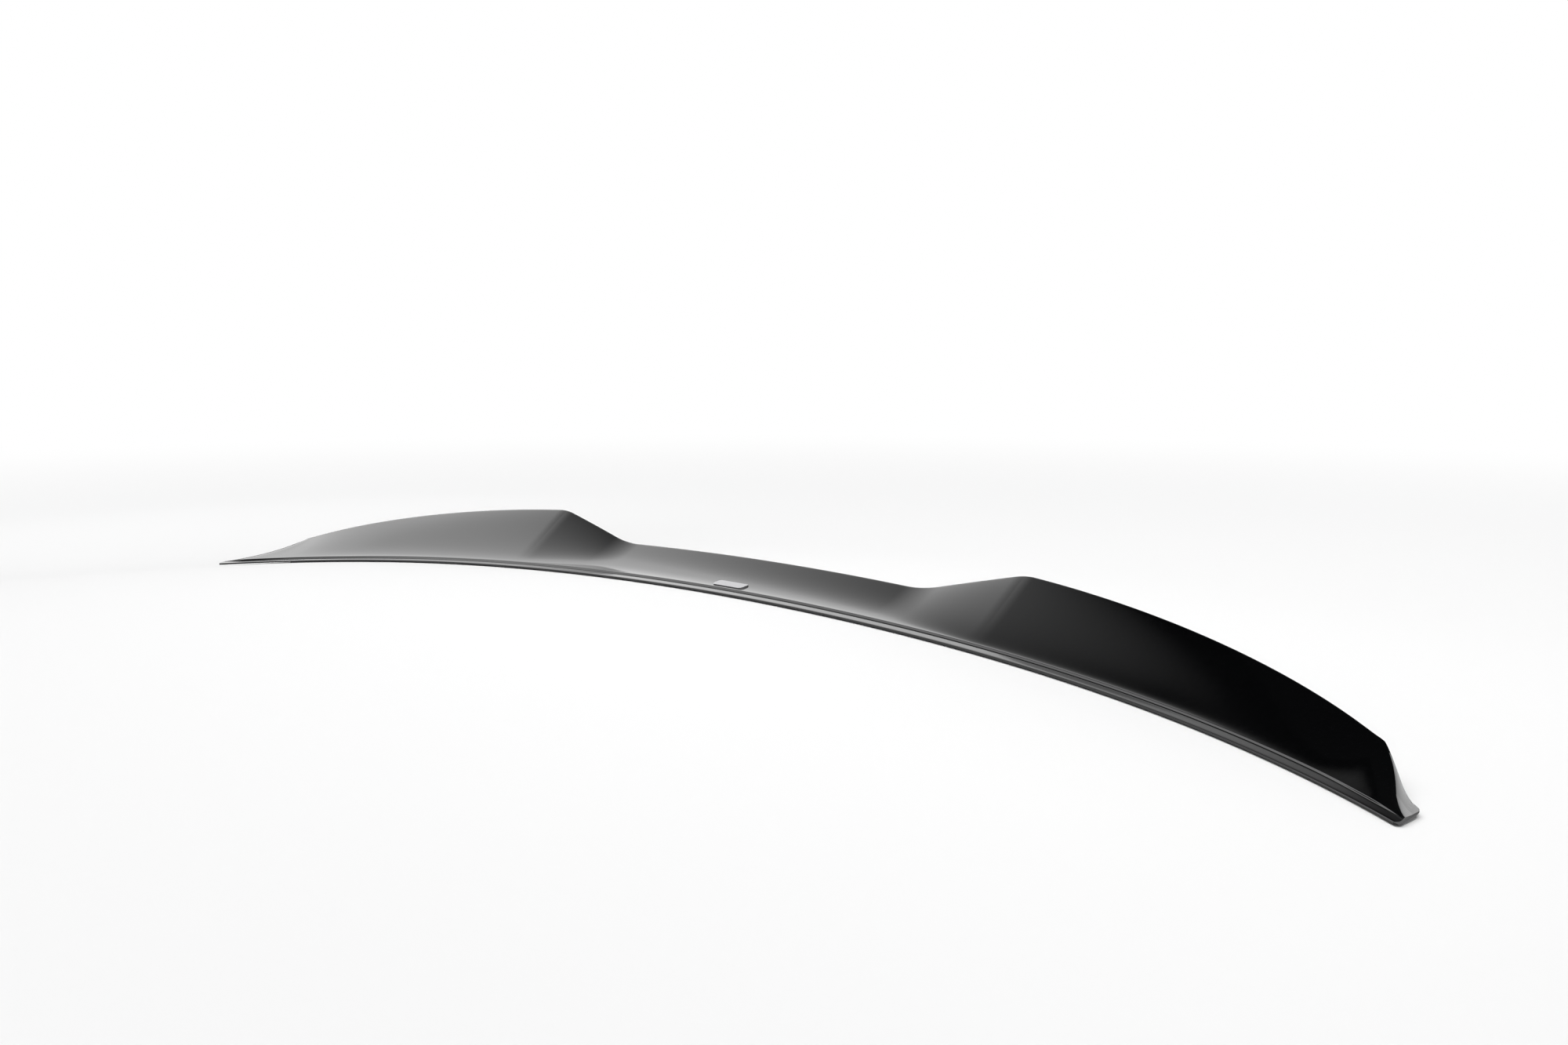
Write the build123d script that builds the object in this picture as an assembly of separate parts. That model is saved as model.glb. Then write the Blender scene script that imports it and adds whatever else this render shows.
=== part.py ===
from build123d import *
import os
from math import cos, radians, sin, sqrt, tan

# A stick-on rear spoiler: one moulded shell on foam tape, with a bare badge plate.
# Millimetres. X runs across the car, Y towards its rear, Z up. The origin lies on the
# boot lid, in the mid-plane, under the middle of the front tape.

# Boot lid that the spoiler sits on: a barrel that falls towards the rear
LID_CROWN_RADIUS = 5000.0
LID_FALL_ANGLE = 2.0

# Outline in plan
OVERALL_WIDTH = 1240.0
FRONT_BOW = 35.5
FRONT_SWEEP = 44.3
REAR_BOW = 7.0
REAR_SWEEP = 92.8
REAR_DEPTH = 40.0

# Front flange and the step behind it
FLANGE_WIDTH = 7.2
FLANGE_THICKNESS = 1.3
FLANGE_BEVEL = 0.7
FLANGE_RISE = 1.3
STEP_RUN = 1.0
STEP_HEIGHT = 1.4

# Lip: a low middle, a ramp on each side and two horns that run out to the tails
CENTRE_LIP_HEIGHT = 20.7
CENTRE_LIP_DEPTH = 49.6
HORN_LIP_HEIGHT = 42.7
HORN_LIP_DEPTH = 59.8
SHOULDER_LIP_DEPTH = 46.0
DIP_X = 165.0
PEAK_X = 254.0
DIP_ROUNDING = 16.0
PEAK_ROUNDING = 9.0
LIP_NOSE = 2.4
RUN_OUT_LENGTH = 349.5
RUN_OUT_POWER = 1.85

# Slanted end walls, and the thin tails that run on from them to the edges of the lid
END_SLANT = 0.55
SLANT_LENGTH = 60.0
END_WALL_INSET = 14.0
END_WALL_RUN = 28.0
END_WALL_ROUNDING = 6.0
TAIL_LIP_DEPTH = 28.0
TAIL_CUT = 6.5
TAIL_CORNER = 6.0

# Slopes and fullness of the concave face and the rear face
FACE_FOOT_SLOPE = 0.08
CENTRE_FACE_FOOT = 16.0
CENTRE_LIP_SLOPE = 0.60
CENTRE_LIP_HANDLE = 13.0
HORN_FACE_FOOT = 9.0
HORN_LIP_SLOPE = 0.74
HORN_LIP_HANDLE = 20.0
REAR_FOOT_LEAN = 0.05
REAR_LIP_LEAN = 0.42
HEEL_LAND = 0.8

# Moulded wall, the land at the front and the return foot at the rear
WALL = 3.0
FOOT_THICKNESS = 2.4
HOLLOW_END_MARGIN = 5.0

# Foam tape
TAPE_THICKNESS = 0.8
TAPE_WIDTH = 6.0
TAPE_SETBACK = 1.5
TAPE_DRAIN_GAP = 14.0
TAPE_END_MARGIN = 10.0

# Bare badge plate on the middle of the face
BADGE_LENGTH = 33.0
BADGE_WIDTH = 8.5
BADGE_THICKNESS = 0.9
BADGE_CORNER = 2.6
BADGE_EDGE = 0.25
BADGE_SETBACK = 15.5

# Worked-out places
HALF_WIDTH = OVERALL_WIDTH / 2
TURN_X = HALF_WIDTH - END_WALL_INSET
TAIL_X = TURN_X + END_WALL_RUN
SLANT_X = TURN_X - SLANT_LENGTH
TAIL_END_X = HALF_WIDTH + END_SLANT * TAIL_LIP_DEPTH + TAIL_CORNER
LAND_WIDTH = TAPE_WIDTH + 2 * TAPE_SETBACK
FRONT_EDGE_Y = -LAND_WIDTH / 2
SEAT_RADIUS = LID_CROWN_RADIUS + TAPE_THICKNESS
LID_FALL = radians(LID_FALL_ANGLE)
TAIL_NOSE = FLANGE_THICKNESS / 3
BADGE_BED = WALL / 2

# Spare room for the cutting bodies, and how finely the forms are drawn
CUT_DEPTH = 12.0
HOLLOW_CUT_DEPTH = 24.0
CUT_REACH = 400.0
TRIM_LEAD = 0.3
LOFT_COUNT = 3
SECTION_COUNT = 4
TAPE_POINT_COUNT = 8
LEAN_STEP_COUNT = 6


def smooth_step(start, end, x):
    """Rise from 0 at start to 1 at end, level at both."""
    t = min(max((x - start) / (end - start), 0.0), 1.0)
    return t * t * (3 - 2 * t)


def soft_corner(t, rounding):
    """A line that turns up from 0 at t = 0, rounded over twice the rounding."""
    if t <= -rounding:
        return 0.0
    if t >= rounding:
        return t
    return (t + rounding) ** 2 / (4 * rounding)


def horn_share(x):
    """0 in the middle of the lip, 1 on the horns, along the ramp between them."""
    rise = soft_corner(abs(x) - DIP_X, DIP_ROUNDING)
    level = soft_corner(abs(x) - PEAK_X, PEAK_ROUNDING)
    return (rise - level) / (PEAK_X - DIP_X)


def run_out(x):
    """1 up to the horn's peak, then down along a rounded line towards the end."""
    t = min(max((abs(x) - PEAK_X) / RUN_OUT_LENGTH, 0.0), 1.0)
    return sqrt(1 - t**RUN_OUT_POWER)


def tail_share(x):
    """0 along the spoiler, 1 in the thin tail: over a rounded edge, down the wall and into a flare."""
    t = min(soft_corner(abs(x) - TURN_X, END_WALL_ROUNDING) / END_WALL_RUN, 1.0)
    return 1 - (1 - t) ** 2


def corner_share(x):
    """0 along the spoiler, 1 where the face has turned over the rounded outer corner."""
    return smooth_step(TURN_X - END_WALL_ROUNDING, TURN_X + END_WALL_ROUNDING, abs(x))


def slant(x):
    """How far a section leans inwards towards the rear: 0 along the spoiler, full at the end wall."""
    return END_SLANT * smooth_step(SLANT_X, TURN_X, abs(x))


def blend(middle, horn, x):
    """A value that changes along the ramp from the middle to the horns."""
    return middle + (horn - middle) * horn_share(x)


def front_y(x):
    """Front edge of the flange in plan."""
    u = x / HALF_WIDTH
    return FRONT_EDGE_Y - FRONT_BOW * u**2 - FRONT_SWEEP * u**4


def rear_y(x):
    """Rear edge of the foot in plan."""
    u = x / HALF_WIDTH
    return FRONT_EDGE_Y + REAR_DEPTH - REAR_BOW * u**2 - REAR_SWEEP * u**4


def seat_z(x, y):
    """Height of the shell's underside, which rests on the tape."""
    crown = sqrt(SEAT_RADIUS**2 - x**2) - LID_CROWN_RADIUS
    return crown / cos(LID_FALL) - y * tan(LID_FALL)


def lip_y(x, share):
    """Line of the lip in plan, for this share of the way down into the tail."""
    out = min(max((abs(x) - PEAK_X) / (TURN_X - PEAK_X), 0.0), 1.0)
    horn_depth = HORN_LIP_DEPTH + (SHOULDER_LIP_DEPTH - HORN_LIP_DEPTH) * out
    depth = blend(CENTRE_LIP_DEPTH, horn_depth, x)
    return front_y(x) + depth + (TAIL_LIP_DEPTH - depth) * share


def leant_x(section_x, line_y):
    """Where a section, as it leans, meets a line in plan."""
    x = section_x
    for _ in range(LEAN_STEP_COUNT):
        x = section_x - slant(section_x) * (line_y(x) - front_y(section_x))
    return x


def lip_apex(x):
    """Sharp point that the blunted lip is drawn around, before the section leans."""
    share = tail_share(x)
    lip_x = leant_x(x, lambda place: lip_y(place, share))
    full = blend(CENTRE_LIP_HEIGHT, HORN_LIP_HEIGHT, x)
    height = (full - FLANGE_THICKNESS) * run_out(lip_x) * (1 - share)
    return Vector(x, lip_y(lip_x, share), seat_z(x, front_y(x)) + FLANGE_THICKNESS + height)


def leant(point):
    """A point of a section, moved inwards along the lid as the section leans."""
    x = point.X - slant(point.X) * (point.Y - front_y(point.X))
    return Vector(x, point.Y, point.Z + seat_z(x, point.Y) - seat_z(point.X, point.Y))


def drawn(corners):
    """Closed outline through runs of points: two make a line, four a Bezier curve."""
    runs = [[leant(point) for point in run] for run in corners]
    return Wire([Edge.make_line(*run) if len(run) == 2 else Edge.make_bezier(*run) for run in runs])


def along(point, y, z, length):
    """The point moved by a length in the direction (y, z)."""
    size = sqrt(y * y + z * z)
    return point + Vector(0, y / size * length, z / size * length)


class Section:
    """One cross-section of the spoiler: the points that its outline passes through."""

    def __init__(self, x):
        self.x = x
        solid = 1 - tail_share(x)
        fall = tan(LID_FALL)
        edge = front_y(x)
        flange_end = edge + FLANGE_WIDTH
        step_end = flange_end + STEP_RUN
        top = seat_z(x, edge) + FLANGE_THICKNESS
        flange_slope = FLANGE_RISE / FLANGE_WIDTH - fall
        flange_back = top + FLANGE_WIDTH * flange_slope
        step_top = flange_back - STEP_RUN * fall + STEP_HEIGHT * solid
        self.toe = Vector(x, edge, seat_z(x, edge) - CUT_DEPTH)
        self.edge_low = Vector(x, edge, top - FLANGE_BEVEL)
        self.edge_high = along(Vector(x, edge, top), 1, flange_slope, FLANGE_BEVEL)
        self.flange_end = Vector(x, flange_end, flange_back)
        self.face_foot = Vector(x, step_end, step_top)
        self.foot_slope = -fall + (FACE_FOOT_SLOPE + fall) * solid
        self.apex = lip_apex(x)
        self.main_slope = blend(CENTRE_LIP_SLOPE, HORN_LIP_SLOPE, x)
        self.lip_slope = -fall + (self.main_slope + fall) * (1 - corner_share(x))
        rear = rear_y(leant_x(x, rear_y))
        self.heel = Vector(x, rear, seat_z(x, rear) + HEEL_LAND)
        self.heel_low = Vector(x, rear, seat_z(x, rear) - CUT_DEPTH)
        nose = LIP_NOSE - (LIP_NOSE - TAIL_NOSE) * tail_share(x)
        self.nose_top = along(self.apex, -1, -self.lip_slope, nose)
        lean = self.heel - self.apex
        self.nose_low = along(self.apex, lean.Y, lean.Z, nose)
        self.nose_tip = (self.apex + (self.nose_top + self.nose_low) / 2) / 2

    def face_controls(self):
        """Control points of the concave face, from the step to the lip."""
        foot = blend(CENTRE_FACE_FOOT, HORN_FACE_FOOT, self.x)
        handle = blend(CENTRE_LIP_HANDLE, HORN_LIP_HANDLE, self.x)
        rise = self.nose_top.Z - self.face_foot.Z
        knee = self.face_foot.Y + foot + rise / self.main_slope
        handle += (self.nose_top.Y - knee - handle) * corner_share(self.x)
        low = along(self.face_foot, 1, self.foot_slope, foot)
        high = along(self.nose_top, -1, -self.lip_slope, handle)
        return [self.face_foot, low, high, self.nose_top]

    def rear_controls(self):
        """Control points of the hollow rear face, from the lip down to the heel."""
        drop = self.nose_low - self.heel
        third = drop.Z / 3
        high = self.nose_low + Vector(0, -REAR_LIP_LEAN * third, -third)
        low = self.heel + Vector(0, REAR_FOOT_LEAN * third, third)
        return [self.nose_low, high, low, self.heel]

    def outline(self):
        """Closed outline of the filled section, reaching below the seat."""
        return drawn(
            [
                (self.toe, self.edge_low),
                (self.edge_low, self.edge_high),
                (self.edge_high, self.flange_end),
                (self.flange_end, self.face_foot),
                self.face_controls(),
                (self.nose_top, self.nose_tip),
                (self.nose_tip, self.nose_low),
                self.rear_controls(),
                (self.heel, self.heel_low),
                (self.heel_low, self.toe),
            ]
        )

    def inner_apex(self):
        """Top of the hollow, a wall's thickness from the face and from the rear face."""
        face = Vector(0, -1, -self.lip_slope).normalized()
        lean = (self.heel - self.apex).normalized()
        middle = (face + lean).normalized()
        half_angle = radians(face.get_angle(lean) / 2)
        return self.apex + middle * (WALL / sin(half_angle))

    def hollow(self):
        """Closed outline of the space under the shell, between the land and the foot."""
        x = self.x
        land_end = front_y(x) + LAND_WIDTH
        foot_end = self.heel.Y - LAND_WIDTH
        wall_y = self.heel.Y - WALL
        ceiling = self.face_foot.Z + self.foot_slope * (land_end - self.face_foot.Y) - WALL
        front_top = Vector(x, land_end, ceiling)
        front_low = Vector(x, land_end, seat_z(x, land_end) - HOLLOW_CUT_DEPTH)
        foot_low = Vector(x, foot_end, seat_z(x, foot_end) - HOLLOW_CUT_DEPTH)
        foot_top = Vector(x, foot_end, seat_z(x, foot_end) + FOOT_THICKNESS)
        wall_low = Vector(x, wall_y, seat_z(x, wall_y) + FOOT_THICKNESS)
        apex = self.inner_apex()
        rise = (apex.Y - land_end) / 3
        third = (apex.Z - wall_low.Z) / 3
        return drawn(
            [
                (front_low, front_top),
                (
                    front_top,
                    along(front_top, 1, self.foot_slope, rise),
                    along(apex, -1, -self.lip_slope, rise),
                    apex,
                ),
                (
                    apex,
                    apex - Vector(0, REAR_LIP_LEAN * third, third),
                    wall_low + Vector(0, REAR_FOOT_LEAN * third, third),
                    wall_low,
                ),
                (wall_low, foot_top),
                (foot_top, foot_low),
                (foot_low, front_low),
            ]
        )


def evenly(start, end, count):
    """Count of steps from start to end, both included."""
    return [start + (end - start) * k / count for k in range(count + 1)]


def spans(start, end, count):
    """Runs of cross-sections, end to end, that cover a stretch of X."""
    ends = evenly(start, end, count)
    return [evenly(a, b, SECTION_COUNT) for a, b in zip(ends, ends[1:])]


def horn_spans(end):
    """The runs of cross-sections on one side, from the edge of the middle over the horn."""
    dip = (DIP_X - DIP_ROUNDING, DIP_X + DIP_ROUNDING)
    peak = (PEAK_X - PEAK_ROUNDING, PEAK_X + PEAK_ROUNDING)
    return [
        *spans(*dip, 1),
        *spans(dip[1], peak[0], 1),
        *spans(*peak, 1),
        *spans(peak[1], end, LOFT_COUNT),
    ]


def lofted(outline_of, side):
    """A body lofted through the cross-sections, span by span, the same on both sides."""
    middle_end = DIP_X - DIP_ROUNDING
    middle = evenly(-middle_end, middle_end, SECTION_COUNT)
    body = Solid.make_loft([outline_of(Section(x)) for x in middle])
    for span in side:
        piece = Solid.make_loft([outline_of(Section(x)) for x in span])
        body = body.fuse(piece, piece.mirror(Plane.YZ))
    return body


def barrel(radius):
    """The boot lid's barrel with this radius, lying along the fall of the lid."""
    up = Vector(0, sin(LID_FALL), cos(LID_FALL))
    fall = Vector(0, cos(LID_FALL), -sin(LID_FALL))
    axis = Plane(up * -LID_CROWN_RADIUS, x_dir=(1, 0, 0), z_dir=fall)
    return axis * Cylinder(radius, CUT_REACH)


def upright(outline):
    """A plan outline raised through the whole height of the part."""
    return extrude(Pos(0, 0, -CUT_REACH / 2) * make_face(outline), CUT_REACH, (0, 0, 1))


def tail_edge(x):
    """Point in plan on the rear edge of the tail."""
    return Vector(x, lip_y(x, 1))


def end_trim():
    """Prism that keeps what lies within the lid's edges, which the tails are cut to."""
    toe = Vector(HALF_WIDTH, front_y(HALF_WIDTH))
    tip = tail_edge(HALF_WIDTH - TAIL_CUT)
    cut_way = (tip - toe).normalized()
    lead = Vector(0, TRIM_LEAD)
    start = Vector(toe.X - TAIL_CORNER, front_y(toe.X - TAIL_CORNER)) - lead
    end = tail_edge(tip.X - TAIL_CORNER) + lead
    side = Line((start.X, -CUT_REACH / 2), start)
    toe_turn = Bezier(start, toe, toe + cut_way * TAIL_CORNER)
    cut = Line(toe + cut_way * TAIL_CORNER, tip - cut_way * TAIL_CORNER)
    tip_turn = Bezier(tip - cut_way * TAIL_CORNER, tip, end)
    away = Line(end, (end.X, CUT_REACH / 2))
    right = [side, toe_turn, cut, tip_turn, away]
    left = [edge.mirror(Plane.YZ) for edge in right]
    back = Line(away @ 1, left[-1] @ 1)
    front = Line(side @ 0, left[0] @ 0)
    return upright([*right, back, *left, front])


def spoiler_shell():
    """The moulded shell: a filled loft, cut to the lid, to its corners and hollowed."""
    turn = (TURN_X - END_WALL_ROUNDING, TURN_X + END_WALL_ROUNDING)
    end = [*spans(*turn, 1), *spans(turn[1], TAIL_X, LOFT_COUNT), *spans(TAIL_X, TAIL_END_X, 1)]
    filled = lofted(Section.outline, horn_spans(turn[0]) + end)
    hollow = lofted(Section.hollow, horn_spans(SLANT_X - HOLLOW_END_MARGIN))
    seated = filled - barrel(SEAT_RADIUS)
    trimmed = seated & end_trim()
    return trimmed - hollow


def tape(edge_y, side):
    """A strip of foam tape whose front edge follows edge_y, on one side of the middle."""
    ends = (TAPE_DRAIN_GAP / 2, SLANT_X - TAPE_END_MARGIN)
    places = evenly(*ends, TAPE_POINT_COUNT)
    near = Spline([(side * x, edge_y(x)) for x in places])
    far = Spline([(side * x, edge_y(x) + TAPE_WIDTH) for x in places])
    strip = upright([near, far, Line(near @ 0, far @ 0), Line(near @ 1, far @ 1)])
    return (strip & barrel(SEAT_RADIUS)) - barrel(LID_CROWN_RADIUS)


def badge_plate(shell):
    """A small bare plate, bedded on the face of the shell."""
    face = Edge.make_bezier(*Section(0).face_controls())
    reach = (BADGE_SETBACK - (FLANGE_WIDTH + STEP_RUN)) / face.length
    seat = Plane(face @ reach, x_dir=(1, 0, 0), z_dir=(face % reach).cross(Vector(-1, 0, 0)))
    blank = extrude(RectangleRounded(BADGE_LENGTH, BADGE_WIDTH, BADGE_CORNER), BADGE_THICKNESS)
    blank = chamfer(blank.faces().sort_by(Axis.Z)[-1].edges(), BADGE_EDGE)
    bed = extrude(RectangleRounded(BADGE_LENGTH, BADGE_WIDTH, BADGE_CORNER), -BADGE_BED)
    return seat * (blank + bed) - shell


def main():
    """Build every piece and write one file for each."""
    shell = spoiler_shell()
    pieces = {"spoiler_shell": shell, "badge_plate": badge_plate(shell)}
    for name, side in (("left", -1), ("right", 1)):
        pieces[f"front_tape_{name}"] = tape(lambda x: front_y(x) + TAPE_SETBACK, side)
        pieces[f"rear_tape_{name}"] = tape(lambda x: rear_y(x) - TAPE_SETBACK - TAPE_WIDTH, side)
    os.makedirs("parts", exist_ok=True)
    for name, piece in pieces.items():
        export_step(piece, f"parts/{name}.step")


main()
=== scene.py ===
"""Dress a car's rear spoiler: a gloss-black moulding bedded on foam tape, with a bare badge plate."""

import logging
from collections.abc import Callable
from dataclasses import dataclass, field
from enum import Enum
from math import cos, hypot, radians, sqrt, tan

import bmesh
import bpy
from mathutils import Matrix, Vector


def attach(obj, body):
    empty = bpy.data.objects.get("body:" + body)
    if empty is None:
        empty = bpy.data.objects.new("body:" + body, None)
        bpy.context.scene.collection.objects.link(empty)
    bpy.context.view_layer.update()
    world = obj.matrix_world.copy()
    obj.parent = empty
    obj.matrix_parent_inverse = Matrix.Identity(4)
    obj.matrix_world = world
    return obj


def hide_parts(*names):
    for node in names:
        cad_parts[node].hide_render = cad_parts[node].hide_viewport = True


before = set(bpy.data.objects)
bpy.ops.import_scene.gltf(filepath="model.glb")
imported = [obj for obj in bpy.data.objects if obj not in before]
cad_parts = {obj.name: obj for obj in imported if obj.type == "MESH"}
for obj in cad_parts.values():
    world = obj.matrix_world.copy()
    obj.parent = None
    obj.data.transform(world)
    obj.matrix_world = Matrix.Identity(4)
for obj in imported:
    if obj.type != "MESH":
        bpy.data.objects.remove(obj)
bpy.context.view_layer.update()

ROOT_BODY = "root"

# Metres. X runs across the car, Y towards its rear, Z up, from a point on the seat
Point = tuple[float, float]
Span = tuple[float, float]
Place = tuple[float, float, float]
Colour = tuple[float, float, float]

# Sizes that more than one part of the form needs
HALF_WIDTH = 0.620
LAND_WIDTH = 0.009

# How closely places are searched for, and from what angle an edge is shaded as sharp
HALVINGS = 24
LEAN_STEPS = 6
SHARP_ANGLE = radians(38)

# How much fine detail the noise of a finish has
GRAIN_DETAIL = 3.0
RELIEF_DETAIL = 2.0

WHITE = (1.0, 1.0, 1.0, 1.0)

log = logging.getLogger("spoiler")


class Node(Enum):
    """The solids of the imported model."""

    SHELL = "spoiler_shell"
    BADGE = "badge_plate"
    FRONT_TAPE_LEFT = "front_tape_left"
    FRONT_TAPE_RIGHT = "front_tape_right"
    REAR_TAPE_LEFT = "rear_tape_left"
    REAR_TAPE_RIGHT = "rear_tape_right"


class Slot(Enum):
    """The material slots of the record."""

    SHELL = "gloss_black"
    TAPE = "foam_tape"
    BADGE = "badge_metal"


class Combine(Enum):
    """Ways to make one value of a material out of two."""

    PRODUCT = "MULTIPLY"
    LARGER = "MAXIMUM"


def smooth_step(start: float, end: float, x: float) -> float:
    """Rise from 0 at start to 1 at end, level at both."""
    t = min(max((x - start) / (end - start), 0.0), 1.0)
    return t * t * (3 - 2 * t)


def soft_corner(t: float, rounding: float) -> float:
    """Turn from a level line into a rising one, round a soft corner at t = 0.

    Args:
        t: the place, which is also the rising line's height.
        rounding: how far before and after the corner it is rounded.

    Returns:
        0 before the corner, t after it, and a curve between them.
    """
    if abs(t) >= rounding:
        return max(t, 0.0)
    return (t + rounding) ** 2 / (4 * rounding)


def mix(a: Point, b: Point, t: float) -> Point:
    """The point at share t of the way from a to b."""
    return (a[0] + (b[0] - a[0]) * t, a[1] + (b[1] - a[1]) * t)


def along(point: Point, y: float, z: float, length: float) -> Point:
    """The point moved by a length in the direction (y, z)."""
    size = hypot(y, z)
    return (point[0] + y / size * length, point[1] + z / size * length)


def evenly(start: float, end: float, steps: int) -> list[float]:
    """Values from start to end in equal steps, the start left out."""
    return [start + (end - start) * k / steps for k in range(1, steps + 1)]


def bezier(controls: list[Point], t: float) -> Point:
    """Find a point of a Bezier curve.

    Args:
        controls: the curve's control points.
        t: where on the curve, from 0 to 1.

    Returns:
        The point.
    """
    level = controls
    while len(level) > 1:
        level = [mix(a, b, t) for a, b in zip(level, level[1:])]
    return level[0]


def curve(controls: list[Point], steps: int) -> list[Point]:
    """Walk a Bezier curve in equal steps, its first point left out."""
    return [bezier(controls, t) for t in evenly(0.0, 1.0, steps)]


@dataclass(frozen=True)
class Seat:
    """The surface that the tape is bedded on: a barrel across the car that falls to the rear.

    Attributes:
        crown_radius: the barrel's radius.
        fall_degrees: how steeply it falls.
        tape_thickness: the thickness of the pressed tape.
    """

    crown_radius: float = 5.0
    fall_degrees: float = 2.0
    tape_thickness: float = 0.0008

    @property
    def fall(self) -> float:
        """The seat's slope along the car."""
        return tan(radians(self.fall_degrees))

    def height(self, x: float, y: float, above: float) -> float:
        """Height of a barrel that lies a distance above the seat."""
        crown = sqrt((self.crown_radius + above) ** 2 - x**2) - self.crown_radius
        return crown / cos(radians(self.fall_degrees)) - y * self.fall

    def bed(self, x: float, y: float) -> float:
        """Height of the shell's underside, which rests on the tape."""
        return self.height(x, y, self.tape_thickness)


@dataclass(frozen=True)
class PlanEdge:
    """A long edge of the spoiler in plan: a bow that sweeps forward at the ends.

    Attributes:
        start: how far back it lies in the middle.
        bow: how far its bow has come forward at the ends.
        sweep: how much further it has swept forward there.
    """

    start: float
    bow: float
    sweep: float

    def at(self, x: float) -> float:
        """How far back the edge lies at a place across the car."""
        u = x / HALF_WIDTH
        return self.start - self.bow * u**2 - self.sweep * u**4


@dataclass(frozen=True)
class Flange:
    """The thin front flange and the step behind it.

    Attributes:
        width: the flange's width, from its edge to the step.
        thickness: its thickness at the edge.
        edge_radius: the rounding of its upper edge.
        rise: how much it rises towards the step.
        step_run: the step's width.
        step_height: the step's height.
    """

    width: float = 0.0072
    thickness: float = 0.0013
    edge_radius: float = 0.0007
    rise: float = 0.0013
    step_run: float = 0.0010
    step_height: float = 0.0014


@dataclass(frozen=True)
class Lip:
    """The lip's line: a low middle, a ramp on each side and two horns.

    Attributes:
        centre_height: the lip's height in the middle.
        centre_depth: how far it lies behind the front edge there.
        horn_height: its height on the horns.
        horn_depth: how far it lies behind the front edge at the horns' peaks.
        shoulder_depth: the same where the end wall begins.
        dip_x: where the ramp begins.
        peak_x: where the ramp ends, at the horn's peak.
        dip_rounding: how far to each side the dip is rounded.
        peak_rounding: how far to each side the peak is rounded.
        nose: the size of the lip's rounded nose.
        nose_ease: the share by which the nose is drawn in from the sharp point.
        run_out_length: how far beyond the peak the lip would come down to the flange.
        run_out_power: how long it stays up on the way there.
    """

    centre_height: float = 0.0207
    centre_depth: float = 0.0496
    horn_height: float = 0.0427
    horn_depth: float = 0.0598
    shoulder_depth: float = 0.0460
    dip_x: float = 0.165
    peak_x: float = 0.254
    dip_rounding: float = 0.016
    peak_rounding: float = 0.009
    nose: float = 0.0024
    nose_ease: float = 0.18
    run_out_length: float = 0.3495
    run_out_power: float = 1.85

    def horn_share(self, x: float) -> float:
        """Tell the low middle from the horns.

        Args:
            x: the place across the car.

        Returns:
            0 in the middle of the lip, 1 on the horns, along the ramp between them.
        """
        rise = soft_corner(x - self.dip_x, self.dip_rounding)
        level = soft_corner(x - self.peak_x, self.peak_rounding)
        return (rise - level) / (self.peak_x - self.dip_x)

    def run_out(self, x: float) -> float:
        """1 up to the horn's peak, then down along a rounded line towards the end."""
        t = min(max((x - self.peak_x) / self.run_out_length, 0.0), 1.0)
        return sqrt(1 - t**self.run_out_power)

    def blend(self, middle: float, horn: float, x: float) -> float:
        """A value that changes along the ramp from the middle to the horns."""
        return middle + (horn - middle) * self.horn_share(x)


@dataclass(frozen=True)
class EndWall:
    """The slanted end wall, and the thin tail that runs on from it.

    Attributes:
        slant: how far the wall runs inwards for its way back.
        slant_length: over what length the sections come to lean as the wall does.
        inset: how far before the end the face turns over the wall's edge.
        run: how far the wall takes to come down.
        rounding: how far to each side the wall's top is rounded.
        edge_rounding: the rounding of the edge between the face and the wall.
        edge_ease: over what share of the face that rounding grows.
        foot_rounding: the rounding where the wall meets the face's foot.
        straight: how straight the face has become at the wall, from 0 to 1.
        straight_from: where it begins to get straighter.
        lip_depth: the tail's width.
        cut: how much shorter the tail is at its rear corner.
        corner: the rounding of the tail's corners.
        corner_room: how many such roundings before the end the rows begin to draw out.
        trim_lead: how far the end cut reaches past the tail's long edges.
    """

    slant: float = 0.55
    slant_length: float = 0.060
    inset: float = 0.014
    run: float = 0.028
    rounding: float = 0.010
    edge_rounding: float = 0.003
    edge_ease: float = 0.5
    foot_rounding: float = 0.0015
    straight: float = 0.6
    straight_from: float = 0.42
    lip_depth: float = 0.028
    cut: float = 0.0065
    corner: float = 0.006
    corner_room: float = 1.2
    trim_lead: float = 0.0003

    @property
    def turn_x(self) -> float:
        """Where the face turns over the wall's edge, at the front."""
        return HALF_WIDTH - self.inset

    @property
    def slant_x(self) -> float:
        """Where the sections begin to lean."""
        return self.turn_x - self.slant_length

    def share(self, x: float) -> float:
        """0 along the spoiler, 1 in the tail: over a rounded edge, down and into a flare."""
        t = min(soft_corner(x - self.turn_x, self.rounding) / self.run, 1.0)
        return 1 - (1 - t) ** 2

    def corner_share(self, x: float) -> float:
        """0 along the spoiler, 1 where the face has turned over the outer corner."""
        return smooth_step(self.turn_x - self.rounding, self.turn_x + self.rounding, x)

    def lean(self, x: float) -> float:
        """How far a section leans inwards towards the rear."""
        return self.slant * smooth_step(self.slant_x, self.turn_x, x)

    def straightness(self, x: float) -> float:
        """0 where the face is fully concave, 1 where it is straight."""
        return self.straight * smooth_step(self.straight_from, self.turn_x, x)


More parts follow.
